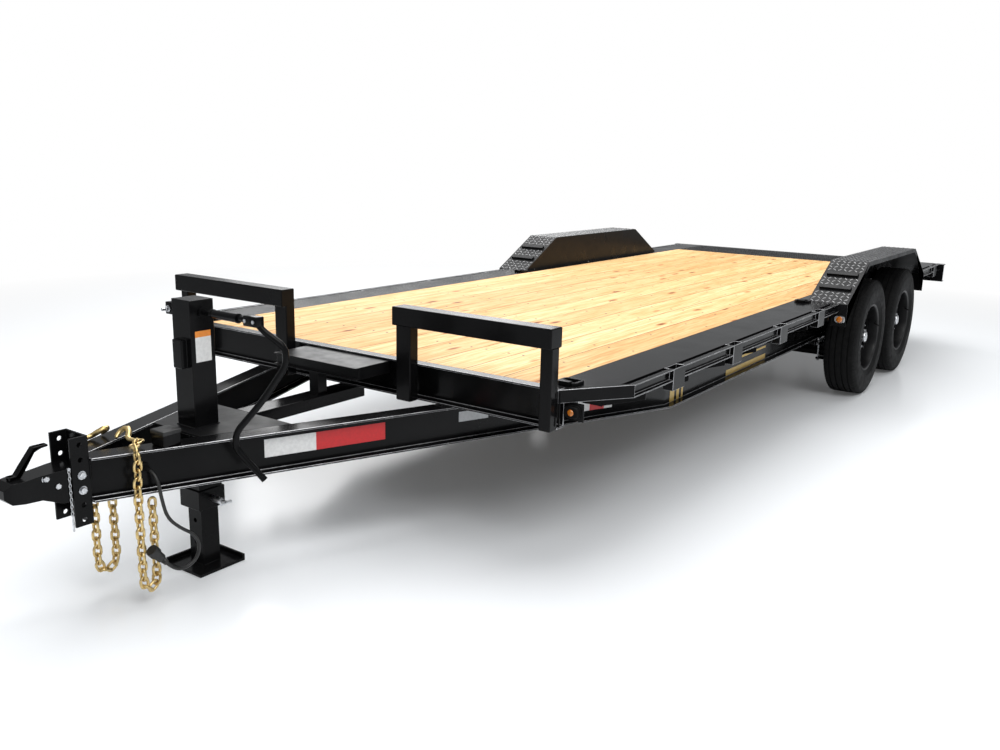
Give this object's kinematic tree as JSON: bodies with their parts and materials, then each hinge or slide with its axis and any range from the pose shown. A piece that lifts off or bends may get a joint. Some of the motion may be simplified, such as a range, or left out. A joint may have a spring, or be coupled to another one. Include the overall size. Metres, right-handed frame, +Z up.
{
  "type": "car hauler trailer",
  "caption": "Tandem-axle flatbed car hauler trailer with wood deck, drive-over tread-plate fenders, bump rails, A-frame tongue, drop-leg jack and adjustable ball coupler.",
  "frame": {"origin": "on the ground, on the centreline, midway between the coupler's nose and the tail", "axes": "+Z up, +Y towards the tail (the tongue points to -Y), +X the trailer's left side"},
  "size_m": [2.59, 7.596, 1.0114],
  "materials": {
    "black_paint": "glossy black powder coat",
    "wheel_paint": "satin black enamel",
    "tread_plate": "glossy black over raised diamond tread",
    "deck_wood": "bare sawn pine",
    "tyre_rubber": "matt black rubber",
    "gold_zinc": "yellow zinc plating",
    "zinc": "bright zinc plating",
    "cable_rubber": "matt black cable jacket",
    "amber_lens": "clear amber moulding",
    "red_lens": "clear red moulding"
  },
  "bodies": {
    "frame": {"axle_front": "black_paint", "axle_rear": "black_paint", "breakaway_box": "black_paint", "bump_rail_left": "black_paint", "bump_rail_right": "black_paint", "centre_beam": "black_paint", "chain_bracket": "black_paint", "coupler": "black_paint", "coupler_latch": "black_paint", "crossmembers": "black_paint", "deck_boards": "deck_wood", "fender_left": "tread_plate", "fender_right": "tread_plate", "front_crossmember": "black_paint", "front_shelf": "black_paint", "hitch_bolts": "zinc", "hitch_channel": "black_paint", "jack_crank": "black_paint", "jack_pin": "zinc", "jack_plate": "black_paint", "jack_post": "black_paint", "lamp_brackets": "black_paint", "lamps_amber": "amber_lens", "lamps_red": "red_lens", "light_cord": "cable_rubber", "light_plug": "cable_rubber", "main_beam_left": "black_paint", "main_beam_right": "black_paint", "outriggers": "black_paint", "ramp_carriers": "black_paint", "ramps": "black_paint", "rear_crossmember": "black_paint", "rub_rail_left": "black_paint", "rub_rail_right": "black_paint", "safety_chain_left": "gold_zinc", "safety_chain_right": "gold_zinc", "side_plate_left": "black_paint", "side_plate_right": "black_paint", "spring_hangers_left": "black_paint", "spring_hangers_right": "black_paint", "springs_left": "black_paint", "springs_right": "black_paint", "tail_plate": "tread_plate", "tie_downs": "black_paint"},
    "drop_leg": {"jack_leg": "black_paint"},
    "wheel_front_left": {"tyre_front_left": "tyre_rubber", "rim_front_left": "wheel_paint", "hub_front_left": "zinc"},
    "wheel_front_right": {"tyre_front_right": "tyre_rubber", "rim_front_right": "wheel_paint", "hub_front_right": "zinc"},
    "wheel_rear_left": {"tyre_rear_left": "tyre_rubber", "rim_rear_left": "wheel_paint", "hub_rear_left": "zinc"},
    "wheel_rear_right": {"tyre_rear_right": "tyre_rubber", "rim_rear_right": "wheel_paint", "hub_rear_right": "zinc"}
  },
  "joints": [
    {"name": "jack_drop", "type": "slide", "parent": "frame", "child": "drop_leg", "axis": [0, 0, 1], "range_m": [0, 0.2]},
    {"name": "spin_front_left", "type": "hinge", "parent": "frame", "child": "wheel_front_left", "pos_m": [1.177, 1.395, 0.39], "axis": [1, 0, 0], "continuous": true},
    {"name": "spin_front_right", "type": "hinge", "parent": "frame", "child": "wheel_front_right", "pos_m": [-1.177, 1.395, 0.39], "axis": [1, 0, 0], "continuous": true},
    {"name": "spin_rear_left", "type": "hinge", "parent": "frame", "child": "wheel_rear_left", "pos_m": [1.177, 2.309, 0.39], "axis": [1, 0, 0], "continuous": true},
    {"name": "spin_rear_right", "type": "hinge", "parent": "frame", "child": "wheel_rear_right", "pos_m": [-1.177, 2.309, 0.39], "axis": [1, 0, 0], "continuous": true}
  ]
}
